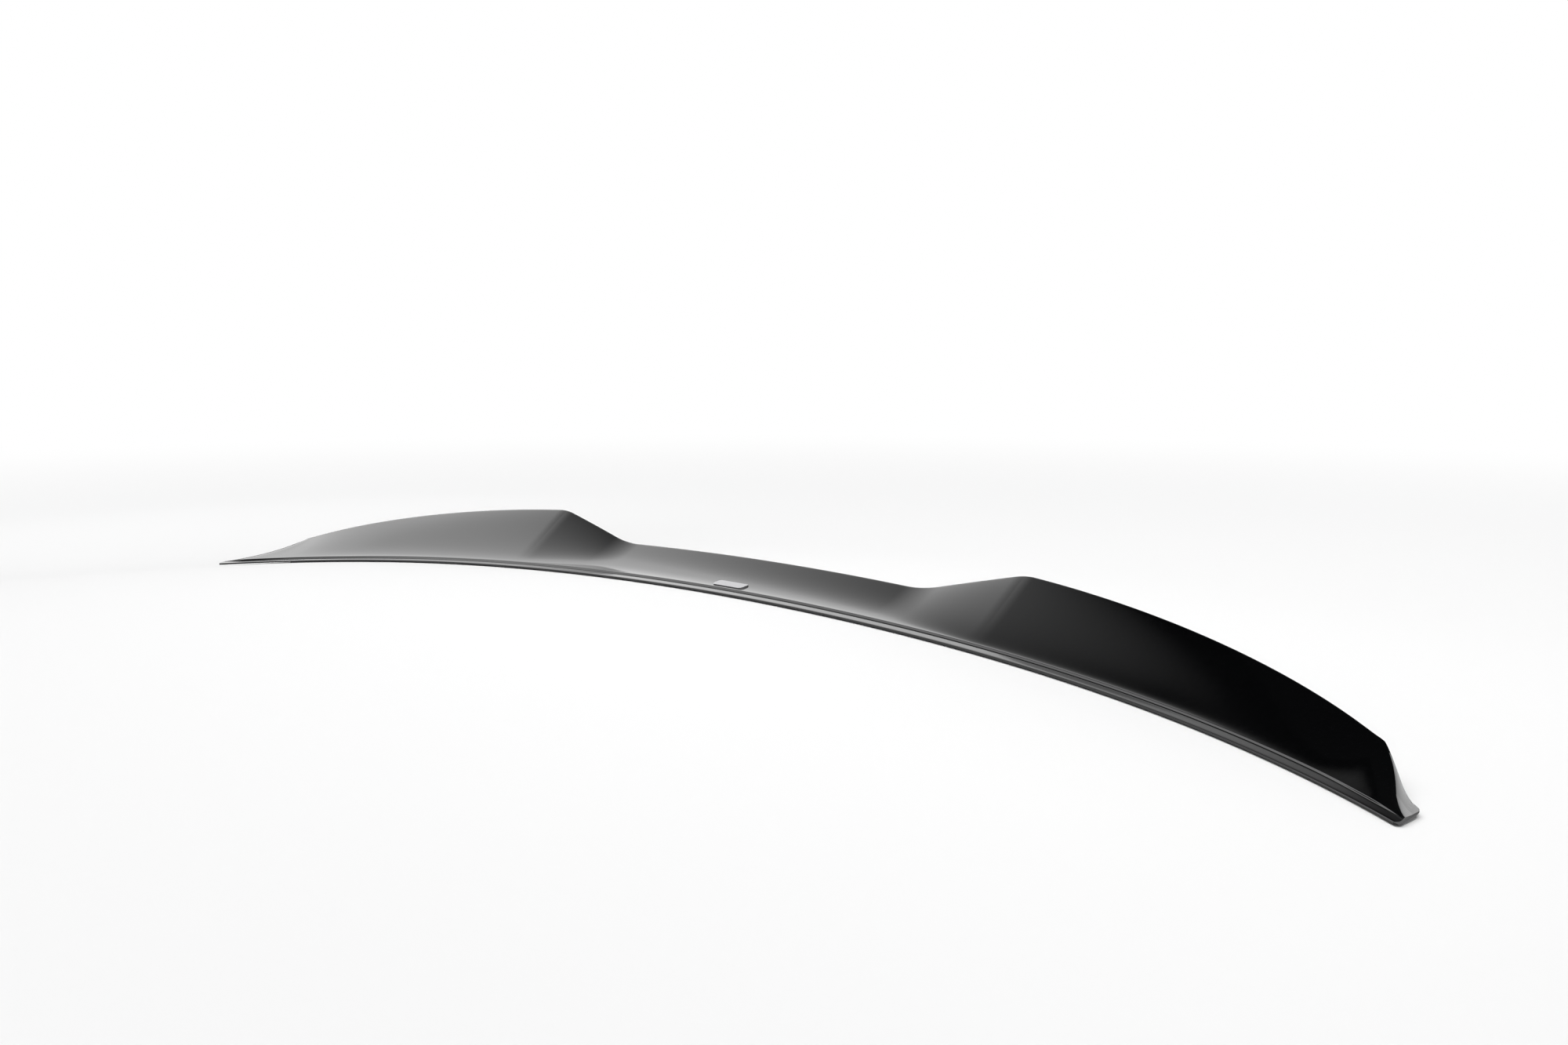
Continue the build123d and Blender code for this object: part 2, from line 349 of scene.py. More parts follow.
@dataclass(frozen=True)
class Faces:
    """Slopes and fullness of the concave face and of the undercut rear face.

    Attributes:
        foot_slope: the concave face's slope at its foot.
        centre_foot: how far it holds that slope, in the middle of the spoiler.
        centre_slope: its slope at the lip there.
        centre_handle: how far it holds the slope at the lip.
        horn_foot: how far it holds the slope at its foot, on the horns.
        horn_slope: its slope at the lip there.
        horn_handle: how far it holds the slope at the lip.
        rear_foot_lean: how far the rear face leans back above the heel, over its rise.
        rear_lip_lean: how far it leans back below the lip.
        heel_land: the height of the heel's upright edge.
    """

    foot_slope: float = 0.08
    centre_foot: float = 0.016
    centre_slope: float = 0.60
    centre_handle: float = 0.013
    horn_foot: float = 0.009
    horn_slope: float = 0.74
    horn_handle: float = 0.020
    rear_foot_lean: float = 0.05
    rear_lip_lean: float = 0.42
    heel_land: float = 0.0008


@dataclass(frozen=True)
class Wall:
    """The moulded wall, the return foot and where the hollow ends.

    Attributes:
        thickness: the wall's thickness.
        foot_thickness: the return foot's thickness.
        hollow_margin: how far the hollow ends before the sections begin to lean.
    """

    thickness: float = 0.003
    foot_thickness: float = 0.0024
    hollow_margin: float = 0.005


@dataclass(frozen=True)
class MeshSteps:
    """How finely the shell is drawn, as counts of steps.

    Attributes:
        edge: round the flange's upper edge.
        flange: across the flange.
        step: over the step.
        face: up the concave face.
        nose: round the lip.
        rear: down the rear face.
        land: across each land, the belly and the end cut.
        inner: up each side of the hollow.
        middle: along the low middle.
        dip: along the rounded dip.
        ramp: along the ramp.
        peak: along the rounded peak.
        outer: from the peak to the end of the hollow.
        shoulder: from there to the end wall's rounding.
        turn: from there to the tail.
        tail: along the tail, and round each of its corners.
    """

    edge: int = 6
    flange: int = 4
    step: int = 10
    face: int = 44
    nose: int = 10
    rear: int = 22
    land: int = 5
    inner: int = 14
    middle: int = 24
    dip: int = 18
    ramp: int = 16
    peak: int = 16
    outer: int = 48
    shoulder: int = 26
    turn: int = 40
    tail: int = 18


@dataclass
class Section:
    """One cross-section of the shell, at a place across the car, as (y, z) points.

    Attributes:
        shell: the shell that it cuts.
        x: the place of its front edge, on the positive side.
        front: how far back its front edge lies.
        lean: how far it leans inwards towards the rear.
        rear: how far back its heel lies.
        tail_share: 0 along the spoiler, 1 in the tail.
        corner_share: 0 along the spoiler, 1 where the face has turned over the outer corner.
        edge_corner: the flange's upper edge, before it is rounded.
        flange_slope: the flange's slope.
        flange_end: where the flange meets the step.
        face_foot: the step's top, where the face begins.
        foot_slope: the face's slope there.
        main_slope: the face's slope at the lip as it would be without the end wall.
        lip_slope: its slope at the lip.
        apex: the sharp point that the rounded lip is drawn around.
        nose_top: where the lip's rounding begins, on the face.
        nose_low: where it ends, on the rear face.
        heel: the foot of the rear face.
    """

    shell: "SpoilerShell"
    x: float
    front: float = field(init=False)
    lean: float = field(init=False)
    rear: float = field(init=False)
    tail_share: float = field(init=False)
    corner_share: float = field(init=False)
    edge_corner: Point = field(init=False)
    flange_slope: float = field(init=False)
    flange_end: Point = field(init=False)
    face_foot: Point = field(init=False)
    foot_slope: float = field(init=False)
    main_slope: float = field(init=False)
    lip_slope: float = field(init=False)
    apex: Point = field(init=False)
    nose_top: Point = field(init=False)
    nose_low: Point = field(init=False)
    heel: Point = field(init=False)

    def __post_init__(self) -> None:
        """Work out the points that the outline passes through."""
        shell, end = self.shell, self.shell.end
        self.front = shell.front_edge.at(self.x)
        self.lean = end.lean(self.x)
        self.rear = shell.rear_edge.at(self.leant_x(shell.rear_edge.at))
        self.tail_share = end.share(self.x)
        self.corner_share = end.corner_share(self.x)
        self.heel = (self.rear, self.bed(self.rear) + shell.faces.heel_land)
        self.set_flange()
        self.set_lip()

    def set_flange(self) -> None:
        """Work out the flange, the step and the foot of the face."""
        flange, fall = self.shell.flange, self.shell.seat.fall
        solid = 1 - self.tail_share
        top = self.bed(self.front) + flange.thickness
        self.flange_slope = flange.rise / flange.width - fall
        flange_back = top + flange.width * self.flange_slope
        step_top = flange_back - flange.step_run * fall + flange.step_height * solid
        self.edge_corner = (self.front, top)
        self.flange_end = (self.front + flange.width, flange_back)
        self.face_foot = (self.flange_end[0] + flange.step_run, step_top)
        self.foot_slope = -fall + (self.shell.faces.foot_slope + fall) * solid

    def set_lip(self) -> None:
        """Work out the lip, its rounding and the face's slope at it."""
        lip, faces, fall = self.shell.lip, self.shell.faces, self.shell.seat.fall
        self.apex = self.lip_apex(self.tail_share)
        self.main_slope = lip.blend(faces.centre_slope, faces.horn_slope, self.x)
        self.lip_slope = -fall + (self.main_slope + fall) * (1 - self.corner_share)
        tail_nose = self.shell.flange.thickness / 3
        nose = lip.nose + (tail_nose - lip.nose) * self.tail_share
        way_down = (self.heel[0] - self.apex[0], self.heel[1] - self.apex[1])
        self.nose_top = along(self.apex, -1, -self.lip_slope, nose)
        self.nose_low = along(self.apex, *way_down, nose)

    def bed(self, y: float) -> float:
        """Height of the shell's underside at this section."""
        return self.shell.seat.bed(self.x, y)

    def placed(self, point: Point) -> Place:
        """Put a point of the section into the frame.

        Args:
            point: the point, as (y, z).

        Returns:
            Its place, moved inwards along the seat as the section leans.
        """
        y, z = point
        x = self.x - self.lean * (y - self.front)
        return (x, y, z + self.shell.seat.bed(x, y) - self.bed(y))

    def leant_x(self, line: Callable[[float], float]) -> float:
        """Find where the section, as it leans, meets a line in plan.

        Args:
            line: how far back the line lies at each place across the car.

        Returns:
            The place across the car.
        """
        x = self.x
        for _ in range(LEAN_STEPS):
            x = self.x - self.lean * (line(x) - self.front)
        return x

    def lip_apex(self, share: float) -> Point:
        """Find the sharp point that the rounded lip is drawn around.

        Args:
            share: 0 for the lip without the end wall, 1 for the tail's edge.

        Returns:
            The point.
        """
        shell, lip = self.shell, self.shell.lip

        def lip_y(x: float) -> float:
            """The lip's line in plan."""
            depth = shell.lip_depth(x)
            return shell.front_edge.at(x) + depth + (shell.end.lip_depth - depth) * share

        x = self.leant_x(lip_y)
        full = lip.blend(lip.centre_height, lip.horn_height, self.x)
        flat = shell.flange.thickness
        height = flat + (full - flat) * lip.run_out(x) * (1 - share)
        return (lip_y(x), self.bed(self.front) + height)

    def whole_face(self) -> list[Point]:
        """Shape the concave face as it would run without the end wall.

        Returns:
            The control points of its curve, from the step to the lip.
        """
        lip, faces = self.shell.lip, self.shell.faces
        foot = lip.blend(faces.centre_foot, faces.horn_foot, self.x)
        handle = lip.blend(faces.centre_handle, faces.horn_handle, self.x)
        top = along(self.lip_apex(0.0), -1, -self.main_slope, lip.nose)
        low = along(self.face_foot, 1, self.foot_slope, foot)
        high = along(top, -1, -self.main_slope, handle)
        straight = self.shell.end.straightness(self.x)
        return [
            self.face_foot,
            mix(low, mix(self.face_foot, top, 1 / 3), straight),
            mix(high, mix(self.face_foot, top, 2 / 3), straight),
            top,
        ]

    def face(self) -> list[Point]:
        """Draw the concave face from the step to the lip, as far as the end wall.

        Returns:
            Its points, the first left out.
        """
        whole = self.whole_face()
        low, high = 0.0, 1.0
        for _ in range(HALVINGS):
            middle = (low + high) / 2
            if bezier(whole, middle)[0] < self.nose_top[0]:
                low = middle
            else:
                high = middle
        points = [bezier(whole, t) for t in evenly(0.0, high, self.shell.steps.face)]
        spare = max(points[-1][1] - self.nose_top[1], 0.0)
        return [self.under_wall(point, spare) for point in points]

    def under_wall(self, point: Point, spare: float) -> Point:
        """Lower a point of the face to the end wall, where that cuts the face off.

        Args:
            point: the point on the face as it would run without the wall.
            spare: how far that face stands above the lip.

        Returns:
            The lowered point, on an edge that is rounded where there is room for it.
        """
        y, z = point
        end = self.shell.end
        run = self.nose_top[0] - self.face_foot[0]
        share = (y - self.face_foot[0]) / run
        level = self.nose_top[1] + self.shell.seat.fall * run
        start = level + soft_corner(self.face_foot[1] - level, end.foot_rounding)
        wall = start + (self.nose_top[1] - start) * share
        rounding = min(end.edge_rounding * min(share / end.edge_ease, 1.0), spare)
        return (y, z - soft_corner(z - wall, rounding))

    def rear_face(self) -> list[Point]:
        """Control points of the undercut rear face, from the lip down to the heel."""
        return self.rear_sweep(self.nose_low, self.heel)

    def rear_sweep(self, top: Point, foot: Point) -> list[Point]:
        """Shape a curve that leans as the rear face does.

        Args:
            top: its upper end.
            foot: its lower end.

        Returns:
            Its control points, from the top down.
        """
        faces = self.shell.faces
        third = (top[1] - foot[1]) / 3
        high = (top[0] - faces.rear_lip_lean * third, top[1] - third)
        low = (foot[0] + faces.rear_foot_lean * third, foot[1] + third)
        return [top, high, low, foot]

    def outside(self) -> list[Point]:
        """Draw the outline over the top.

        Returns:
            Its points, from the flange's lower edge to the heel's.
        """
        steps, flange = self.shell.steps, self.shell.flange
        edge_low = (self.front, self.edge_corner[1] - flange.edge_radius)
        edge_high = along(self.edge_corner, 1, self.flange_slope, flange.edge_radius)
        middle = (self.flange_end[0] + self.face_foot[0]) / 2
        step = [
            self.flange_end,
            (middle, self.flange_end[1]),
            (middle, self.face_foot[1]),
            self.face_foot,
        ]
        return [
            (self.front, self.bed(self.front)),
            edge_low,
            *curve([edge_low, self.edge_corner, edge_high], steps.edge),
            *curve([edge_high, self.flange_end], steps.flange),
            *curve(step, steps.step),
            *self.face(),
            *curve([self.nose_top, self.nose_tip(), self.nose_low], steps.nose),
            *curve(self.rear_face(), steps.rear),
            (self.rear, self.bed(self.rear)),
        ]

    def nose_tip(self) -> Point:
        """Control point of the rounded lip, drawn in a little from the sharp point."""
        return mix(self.apex, mix(self.nose_top, self.nose_low, 0.5), self.shell.lip.nose_ease)

    def underside(self, start: float, end: float) -> list[Point]:
        """Points on the bed from one place along the car to another, the first left out."""
        return [(y, self.bed(y)) for y in evenly(start, end, self.shell.steps.land)]

    def foot(self) -> list[Point]:
        """The return foot's lower face, from the heel to its inner edge."""
        return self.underside(self.rear, self.rear - LAND_WIDTH)

    def land(self) -> list[Point]:
        """The front land's lower face, from the flange's edge to its inner edge."""
        return self.underside(self.front, self.front + LAND_WIDTH)

    def belly(self) -> list[Point]:
        """The closed underside between the foot and the land, both left out."""
        return self.underside(self.rear - LAND_WIDTH, self.front + LAND_WIDTH)[:-1]

    def loop(self) -> list[Point]:
        """Every point of the filled section: the outside, the foot, the belly and the land."""
        return self.outside() + self.foot() + self.belly() + self.land()[::-1]

    def inner_apex(self) -> Point:
        """Find the top of the hollow.

        Returns:
            The point a wall's thickness from the face and from the rear face.
        """
        face = Vector((-1, -self.lip_slope)).normalized()
        way_down = Vector((self.heel[0] - self.apex[0], self.heel[1] - self.apex[1])).normalized()
        middle = (face + way_down).normalized()
        half_sine = sqrt((1 - face.dot(way_down)) / 2)
        return along(self.apex, middle.x, middle.y, self.shell.wall.thickness / half_sine)

    def hollow(self) -> list[Point]:
        """Draw the hollow's outline.

        Returns:
            Its points, from the foot's inner edge round to the land's, both left out.
        """
        wall, steps = self.shell.wall, self.shell.steps
        land_end = self.front + LAND_WIDTH
        foot_end = self.rear - LAND_WIDTH
        wall_y = self.rear - wall.thickness
        ceiling = self.face_foot[1] + self.foot_slope * (land_end - self.face_foot[0])
        front_top = (land_end, ceiling - wall.thickness)
        foot_top = (foot_end, self.bed(foot_end) + wall.foot_thickness)
        wall_low = (wall_y, self.bed(wall_y) + wall.foot_thickness)
        apex = self.inner_apex()
        rise = (apex[0] - land_end) / 3
        roof = [
            apex,
            along(apex, -1, -self.lip_slope, rise),
            along(front_top, 1, self.foot_slope, rise),
            front_top,
        ]
        back = self.rear_sweep(apex, wall_low)[::-1]
        return [foot_top, wall_low, *curve(back, steps.inner), *curve(roof, steps.inner)]


@dataclass
class Row:
    """One row of the shell's mesh: the numbers of its vertices, part by part.

    Attributes:
        outside: over the top, from the flange's lower edge to the heel's.
        foot: under the return foot, from the heel to its inner edge.
        land: under the front land, from the flange's edge to its inner edge.
        hollow: round the hollow, empty where the shell is filled.
        belly: across the closed underside, empty where the shell is hollow.
    """

    outside: list[int]
    foot: list[int]
    land: list[int]
    hollow: list[int]
    belly: list[int]

    def shell_run(self) -> list[int]:
        """From the land's inner edge over the outside to the foot's inner edge."""
        return [*reversed(self.land), *self.outside, *self.foot]

    def hollow_run(self) -> list[int]:
        """From the foot's inner edge round the hollow to the land's inner edge."""
        return [self.foot[-1], *self.hollow, self.land[-1]]

    def belly_run(self) -> list[int]:
        """From the foot's inner edge straight to the land's inner edge."""
        return [self.foot[-1], *self.belly, self.land[-1]]


@dataclass
class SpoilerShell:
    """The moulded shell: a lofted skin over a hollow, open underneath, with thin tails.

    Attributes:
        seat: the surface that it is bedded on.
        front_edge: the flange's front edge in plan.
        rear_edge: the heel in plan.
        flange: the front flange and its step.
        lip: the lip's line.
        end: the end walls and the tails.
        faces: the slopes of the faces.
        wall: the moulded wall.
        steps: how finely it is drawn.
    """

    seat: Seat = field(default_factory=Seat)
    front_edge: PlanEdge = PlanEdge(start=-0.0045, bow=0.0355, sweep=0.0443)
    rear_edge: PlanEdge = PlanEdge(start=0.0355, bow=0.0070, sweep=0.0928)
    flange: Flange = field(default_factory=Flange)
    lip: Lip = field(default_factory=Lip)
    end: EndWall = field(default_factory=EndWall)
    faces: Faces = field(default_factory=Faces)
    wall: Wall = field(default_factory=Wall)
    steps: MeshSteps = field(default_factory=MeshSteps)

    @property
    def hollow_end(self) -> float:
        """Where the hollow's end wall stands."""
        return self.end.slant_x - self.wall.hollow_margin

    @property
    def tail_start(self) -> float:
        """Where the rows begin to draw out towards the end cut."""
        return HALF_WIDTH - self.end.corner * self.end.corner_room

    def lip_depth(self, x: float) -> float:
        """Place the lip in plan.

        Args:
            x: the place across the car.

        Returns:
            How far the lip lies behind the front edge there, before the end wall.
        """
        lip = self.lip
        out = min(max((x - lip.peak_x) / (self.end.turn_x - lip.peak_x), 0.0), 1.0)
        horn_depth = lip.horn_depth + (lip.shoulder_depth - lip.horn_depth) * out
        return lip.blend(lip.centre_depth, horn_depth, x)

    def places(self) -> list[float]:
        """Choose the places of the straight rows, closer where the form turns.

        Returns:
            The places on one half, from the middle outwards.
        """
        lip, steps = self.lip, self.steps
        dip = (lip.dip_x - lip.dip_rounding, lip.dip_x + lip.dip_rounding)
        peak = (lip.peak_x - lip.peak_rounding, lip.peak_x + lip.peak_rounding)
        turn_start = self.end.turn_x - self.end.rounding
        return [
            0.0,
            *evenly(0.0, dip[0], steps.middle),
            *evenly(*dip, steps.dip),
            *evenly(dip[1], peak[0], steps.ramp),
            *evenly(*peak, steps.peak),
            *evenly(peak[1], self.hollow_end, steps.outer),
            *evenly(self.hollow_end, turn_start, steps.shoulder),
            *evenly(turn_start, self.tail_start, steps.turn),
        ]

    def tail_edge(self, x: float) -> Point:
        """Point in plan on the rear edge of the tail."""
        return (x, self.front_edge.at(x) + self.end.lip_depth)

    def end_outline(self) -> list[Point]:
        """Draw the end cut in plan.

        Returns:
            Its (x, y) points, from the front to the rear.
        """
        corner, lead = self.end.corner, self.end.trim_lead
        toe = (HALF_WIDTH, self.front_edge.at(HALF_WIDTH))
        tip = self.tail_edge(HALF_WIDTH - self.end.cut)
        cut_way = (tip[0] - toe[0], tip[1] - toe[1])
        start_x = toe[0] - corner
        start = (start_x, self.front_edge.at(start_x) - lead)
        rear = self.tail_edge(tip[0] - corner)
        toe_end = along(toe, *cut_way, corner)
        tip_start = along(tip, *cut_way, -corner)
        return [
            start,
            *curve([start, toe, toe_end], self.steps.tail),
            *curve([toe_end, tip_start], self.steps.land),
            *curve([tip_start, tip, (rear[0], rear[1] + lead)], self.steps.tail),
        ]

    def end_x(self, outline: list[Point], y: float) -> float:
        """Find how far out the end cut lies at a place along the car.

        Args:
            outline: the end cut in plan.
            y: the place along the car.

        Returns:
            The cut's place across the car.
        """
        crossings = [
            mix(low, high, (y - low[1]) / (high[1] - low[1]))[0]
            for low, high in zip(outline, outline[1:])
            if (low[1] <= y) != (high[1] <= y)
        ]
        beyond = outline[-1] if y > outline[-1][1] else outline[0]
        return max(crossings, default=beyond[0])

    def point(self, k: int, x: float) -> Place:
        """Point k of the filled section at x, in the frame."""
        section = Section(self, x)
        return section.placed(section.loop()[k])

    def end_places(self) -> list[float]:
        """Find by halving where each point of the loop meets the end cut.

        Returns:
            The place of the section whose point lies on the cut, for each point.
        """
        outline = self.end_outline()
        furthest = HALF_WIDTH + self.end.slant * self.end.lip_depth + self.end.corner
        found = []
        for k in range(len(Section(self, self.tail_start).loop())):
            low, high = self.tail_start, furthest
            for _ in range(HALVINGS):
                middle = (low + high) / 2
                x, y, _ = self.point(k, middle)
                if self.end_x(outline, y) > x:
                    low = middle
                else:
                    high = middle
            found.append((low + high) / 2)
        return found

    def leaning_row(self, ends: list[float], share: float) -> list[Place]:
        """A row of points, each at the same share of its own way to the end cut."""
        start = self.tail_start
        return [self.point(k, start + (end - start) * share) for k, end in enumerate(ends)]

    def build(self, name: str) -> bpy.types.Object:
        """Draw the shell as one closed mesh in the scene."""
        mesh = ShellMesh(self)
        return mesh_piece(name, mesh.vertices, mesh.faces)

    def dress(self, piece: bpy.types.Object, finish: "Finish") -> None:
        """Give the shell its finish and let it stand for the solid.

        Args:
            piece: the shell's mesh object.
            finish: the finish that it gets.
        """
        piece.data.materials.append(finish.material())
        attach(piece, ROOT_BODY)
        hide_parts(Node.SHELL.value)


class ShellMesh:
    """The vertices and faces of the shell, row by row from one end to the other."""

    def __init__(self, shell: SpoilerShell) -> None:
        """Draw every row, then the skin between the rows, the hollow's ends and the tips.

        Args:
            shell: the shell to draw.
        """
        self.shell = shell
        self.vertices: list[Place] = []
        self.faces: list[list[int]] = []
        half = shell.places()
        ends = shell.end_places()
        leaning = [
            shell.leaning_row(ends, share) for share in evenly(0.0, 1.0, shell.steps.tail)
        ]
        rows = [self.filled_row(row, -1) for row in reversed(leaning)]
        rows += [self.straight_row(x, -1) for x in reversed(half[1:])]
        rows += [self.straight_row(x, 1) for x in half]
        rows += [self.filled_row(row, 1) for row in leaning]
        for a, b in zip(rows, rows[1:]):
            self.skin(a.shell_run(), b.shell_run())
            if a.hollow and b.hollow:
                self.skin(a.hollow_run(), b.hollow_run())
            else:
                self.skin(a.belly_run(), b.belly_run())
        for row in rows:
            if row.hollow and row.belly:
                self.faces.append(row.hollow_run() + row.belly[::-1])
        for row in (rows[0], rows[-1]):
            self.faces.append(row.shell_run() + row.belly)

    def add(self, points: list[Place]) -> list[int]:
        """Add vertices.

        Args:
            points: their places.

        Returns:
            Their numbers.
        """
        first = len(self.vertices)
        self.vertices += points
        return list(range(first, len(self.vertices)))

    def straight_row(self, x: float, side: int) -> Row:
        """Draw a row at one place across the car, hollow within the hollow's length.

        Args:
            x: the place, on the positive side.
            side: 1 for the positive side of the car, -1 for the other.

        Returns:
            The row.
        """
        section = Section(self.shell, x)
        end = self.shell.hollow_end

        def placed(points: list[Point]) -> list[int]:
            """Add points of the section on this side."""
            spots = [section.placed(point) for point in points]
            return self.add([(side * spot[0], *spot[1:]) for spot in spots])

        return Row(
            outside=placed(section.outside()),
            foot=placed(section.foot()),
            land=placed(section.land()),
            hollow=placed(section.hollow()) if x <= end else [],
            belly=placed(section.belly()) if x >= end else [],
        )

    def filled_row(self, points: list[Place], side: int) -> Row:
        """Draw a row without a hollow.

        Args:
            points: the points of its loop, on the positive side.
            side: 1 for the positive side of the car, -1 for the other.

        Returns:
            The row.
        """
        numbers = self.add([(side * x, y, z) for x, y, z in points])
        land = self.shell.steps.land
        belly = land - 1
        outside = len(numbers) - 2 * land - belly
        return Row(
            outside=numbers[:outside],
            foot=numbers[outside:outside + land],
            land=numbers[-land:][::-1],
            hollow=[],
            belly=numbers[outside + land:outside + land + belly],
        )

    def skin(self, a: list[int], b: list[int]) -> None:
        """Fill the strip between two runs of as many vertices."""
        for k in range(len(a) - 1):
            self.faces.append([a[k], a[k + 1], b[k + 1], b[k]])


def mesh_piece(name: str, vertices: list[Place], faces: list[list[int]]) -> bpy.types.Object:
    """Make a smooth-shaded mesh object with its faces turned outwards.

    Args:
        name: the object's name.
        vertices: its points in the frame.
        faces: the numbers of each face's points.

    Returns:
        The object, in the scene.
    """
    mesh = bpy.data.meshes.new(name)
    mesh.from_pydata(vertices, [], faces)
    work = bmesh.new()
    work.from_mesh(mesh)
    bmesh.ops.recalc_face_normals(work, faces=work.faces)
    if work.calc_volume(signed=True) < 0:
        bmesh.ops.reverse_faces(work, faces=work.faces)
    work.to_mesh(mesh)
    work.free()
    mesh.shade_smooth()
    mesh.set_sharp_from_angle(angle=SHARP_ANGLE)
    piece = bpy.data.objects.new(name, mesh)
    bpy.context.scene.collection.objects.link(piece)
    return piece


@dataclass(frozen=True)
class Grade:
    """A value that runs from one level to another between two places, and stays there beyond.

    Attributes:
        places: where it begins and ends.
        levels: what it is at each of them.
        smooth: whether it eases in and out.
    """

    places: Span
    levels: Span
    smooth: bool = False


class NodeTree:
    """A short way to add and join shader nodes."""

    def __init__(self, tree: bpy.types.NodeTree) -> None:
        """Take an empty tree over."""
        self.tree = tree
        tree.nodes.clear()

    def add(self, kind: str, **values: object) -> bpy.types.Node:
        """Add a node.

        Args:
            kind: the node's type.
            values: its properties, or its inputs where it has no such property.

        Returns:
            The node.
        """
        node = self.tree.nodes.new(kind)
        for key, value in values.items():
            if hasattr(node, key):
                setattr(node, key, value)
            else:
                node.inputs[key.replace("_", " ").title()].default_value = value
        return node

    def join(self, start: bpy.types.NodeSocket, end: bpy.types.NodeSocket) -> None:
        """Link an output to an input."""
        self.tree.links.new(start, end)

    def graded(self, place: bpy.types.NodeSocket, grade: Grade) -> bpy.types.NodeSocket:
        """Grade a value by place.

        Args:
            place: the output that gives the place.
            grade: how the value runs.

        Returns:
            The output that gives the value.
        """
        kind = "SMOOTHSTEP" if grade.smooth else "LINEAR"
        node = self.add("ShaderNodeMapRange", interpolation_type=kind)
        node.inputs["From Min"].default_value = grade.places[0]
        node.inputs["From Max"].default_value = grade.places[1]
        node.inputs["To Min"].default_value = grade.levels[0]
        node.inputs["To Max"].default_value = grade.levels[1]
        self.join(place, node.inputs["Value"])
        return node.outputs["Result"]

    def combined(
        self, a: bpy.types.NodeSocket, b: bpy.types.NodeSocket, way: Combine
    ) -> bpy.types.NodeSocket:
        """Make one value out of two.

        Args:
            a: the output that gives the first.
            b: the output that gives the second.
            way: how they are put together.

        Returns:
            The output that gives the new value.
        """
        node = self.add("ShaderNodeMath", operation=way.value)
        self.join(a, node.inputs[0])
        self.join(b, node.inputs[1])
        return node.outputs["Value"]


@dataclass(frozen=True)
class Finish:
    """A surface finish: two close tones mottled together, a gloss that varies and a fine relief.

    Attributes:
        name: the material's name.
        dark: the darker tone.
        pale: the paler tone.
        metallic: 1 for bare metal, 0 otherwise.
        gloss: the lowest and highest roughness.
        grain: how many grains the mottling and gloss have in a metre.
        stretch: how much the grain is drawn out along X.
        relief_scale: how many bumps the relief has in a metre.
        relief_depth: the bumps' depth in metres.
    """

    name: str
    dark: Colour
    pale: Colour
    metallic: float
    gloss: Span
    grain: float
    stretch: float
    relief_scale: float
    relief_depth: float

    def material(self) -> bpy.types.Material:
        """Mix the finish.

        Returns:
            Its material.
        """
        material = bpy.data.materials.new(self.name)
        material.use_nodes = True
        tree = NodeTree(material.node_tree)
        output = tree.add("ShaderNodeOutputMaterial")
        shader = tree.add("ShaderNodeBsdfPrincipled", metallic=self.metallic)
        place = tree.add("ShaderNodeTexCoord")
        drawn = tree.add("ShaderNodeMapping")
        drawn.inputs["Scale"].default_value = (1 / self.stretch, 1.0, 1.0)
        grain = tree.add("ShaderNodeTexNoise", scale=self.grain, detail=GRAIN_DETAIL)
        relief = tree.add("ShaderNodeTexNoise", scale=self.relief_scale, detail=RELIEF_DETAIL)
        tone = tree.add("ShaderNodeMix", data_type="RGBA")
        tone.inputs["A"].default_value = (*self.dark, 1)
        tone.inputs["B"].default_value = (*self.pale, 1)
        bump = tree.add("ShaderNodeBump", distance=self.relief_depth)
        gloss = tree.graded(grain.outputs["Fac"], Grade((0.0, 1.0), self.gloss))
        tree.join(place.outputs["Object"], drawn.inputs["Vector"])
        tree.join(drawn.outputs["Vector"], grain.inputs["Vector"])
        tree.join(drawn.outputs["Vector"], relief.inputs["Vector"])
        tree.join(grain.outputs["Fac"], tone.inputs["Factor"])
        tree.join(relief.outputs["Fac"], bump.inputs["Height"])
        tree.join(tone.outputs["Result"], shader.inputs["Base Color"])
        tree.join(gloss, shader.inputs["Roughness"])
        tree.join(bump.outputs["Normal"], shader.inputs["Normal"])
        tree.join(shader.outputs["BSDF"], output.inputs["Surface"])
        return material


GLOSS_BLACK = Finish(
    name="gloss_black_plastic",
    dark=(0.0010, 0.0011, 0.0013),
    pale=(0.0018, 0.0019, 0.0022),
    metallic=0.0,
    gloss=(0.06, 0.10),
    grain=420.0,
    stretch=1.0,
    relief_scale=260.0,
    relief_depth=0.000004,
)
FOAM_GREY = Finish(
    name="foam_tape_grey",
    dark=(0.035, 0.035, 0.037),
    pale=(0.09, 0.09, 0.095),
    metallic=0.0,
    gloss=(0.8, 1.0),
    grain=2600.0,
    stretch=1.0,
    relief_scale=3200.0,
    relief_depth=0.0001,
)
SATIN_METAL = Finish(
    name="satin_badge_metal",
    dark=(0.30, 0.30, 0.31),
    pale=(0.42, 0.42, 0.43),
    metallic=1.0,
    gloss=(0.22, 0.38),
    grain=5200.0,
    stretch=24.0,
    relief_scale=6000.0,
    relief_depth=0.00001,
)


@dataclass
class TapeSet:
    """The strips of foam tape under the flange and the foot."""

    nodes: tuple[Node, ...] = (
        Node.FRONT_TAPE_LEFT,
        Node.FRONT_TAPE_RIGHT,
        Node.REAR_TAPE_LEFT,
        Node.REAR_TAPE_RIGHT,
    )

    def dress(self, finish: Finish) -> list[bpy.types.Object]:
        """Give every strip the foam's finish."""
        return [dress_solid(node, Slot.TAPE, finish) for node in self.nodes]


@dataclass
class BadgePlate:
    """The small bare plate on the middle of the face."""

    node: Node = Node.BADGE

    def dress(self, finish: Finish) -> bpy.types.Object:
        """Give the plate its metal."""
        return dress_solid(self.node, Slot.BADGE, finish)


